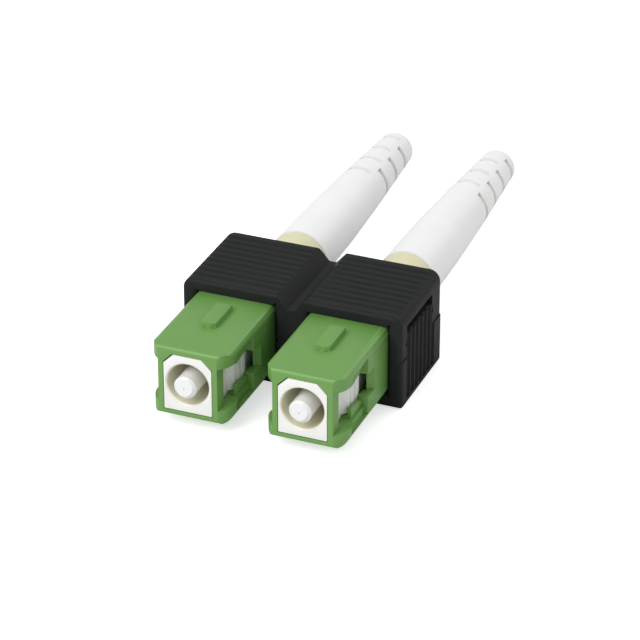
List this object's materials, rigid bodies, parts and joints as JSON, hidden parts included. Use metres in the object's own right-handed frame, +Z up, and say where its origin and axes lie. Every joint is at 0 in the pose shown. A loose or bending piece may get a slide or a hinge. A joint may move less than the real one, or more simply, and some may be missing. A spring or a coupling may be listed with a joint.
{
  "type": "duplex sc fibre connector",
  "caption": "Duplex SC fibre optic connector: two push-pull plugs with angled-polish ferrules, clipped side by side in one housing, with bend-relief boots.",
  "frame": {"origin": "under the middle of the part, on the housing's underside", "axes": "+Y from the ferrules to the cable entries, +X across the pair, +Z up, towards the keys"},
  "size_m": [0.025, 0.0612, 0.0108],
  "materials": {
    "black_plastic": "satin moulded black, finely textured",
    "green_plastic": "satin moulded green",
    "white_plastic": "satin moulded white",
    "ceramic": "polished white ceramic",
    "plated_metal": "bright plated brass",
    "spring_steel": "drawn steel wire",
    "tube_plastic": "plain clear-white tube",
    "cream_plastic": "satin moulded cream",
    "crimp_metal": "plated brass",
    "white_elastomer": "soft satin white"
  },
  "bodies": {
    "housing": {"upper_shell": "black_plastic", "lower_shell": "black_plastic", "left_sleeve": "green_plastic", "right_sleeve": "green_plastic"},
    "left_plug": {"left_plug_frame": "white_plastic", "left_rear_body": "cream_plastic", "left_crimp_sleeve": "crimp_metal", "left_boot": "white_elastomer", "left_spring": "spring_steel"},
    "left_ferrule_body": {"left_ferrule": "ceramic", "left_ferrule_holder": "plated_metal", "left_guide_tube": "tube_plastic"},
    "right_plug": {"right_plug_frame": "white_plastic", "right_rear_body": "cream_plastic", "right_crimp_sleeve": "crimp_metal", "right_boot": "white_elastomer", "right_spring": "spring_steel"},
    "right_ferrule_body": {"right_ferrule": "ceramic", "right_ferrule_holder": "plated_metal", "right_guide_tube": "tube_plastic"}
  },
  "joints": [
    {"name": "left_release", "type": "slide", "parent": "housing", "child": "left_plug", "axis": [0, -1, 0], "range_m": [0, 0.002]},
    {"name": "left_ferrule_float", "type": "slide", "parent": "left_plug", "child": "left_ferrule_body", "axis": [0, 1, 0], "range_m": [0, 0.0012], "stiffness_N_per_m": 1000, "deforming": ["left_spring"]},
    {"name": "right_release", "type": "slide", "parent": "housing", "child": "right_plug", "axis": [0, -1, 0], "range_m": [0, 0.002]},
    {"name": "right_ferrule_float", "type": "slide", "parent": "right_plug", "child": "right_ferrule_body", "axis": [0, 1, 0], "range_m": [0, 0.0012], "stiffness_N_per_m": 1000, "deforming": ["right_spring"]}
  ]
}
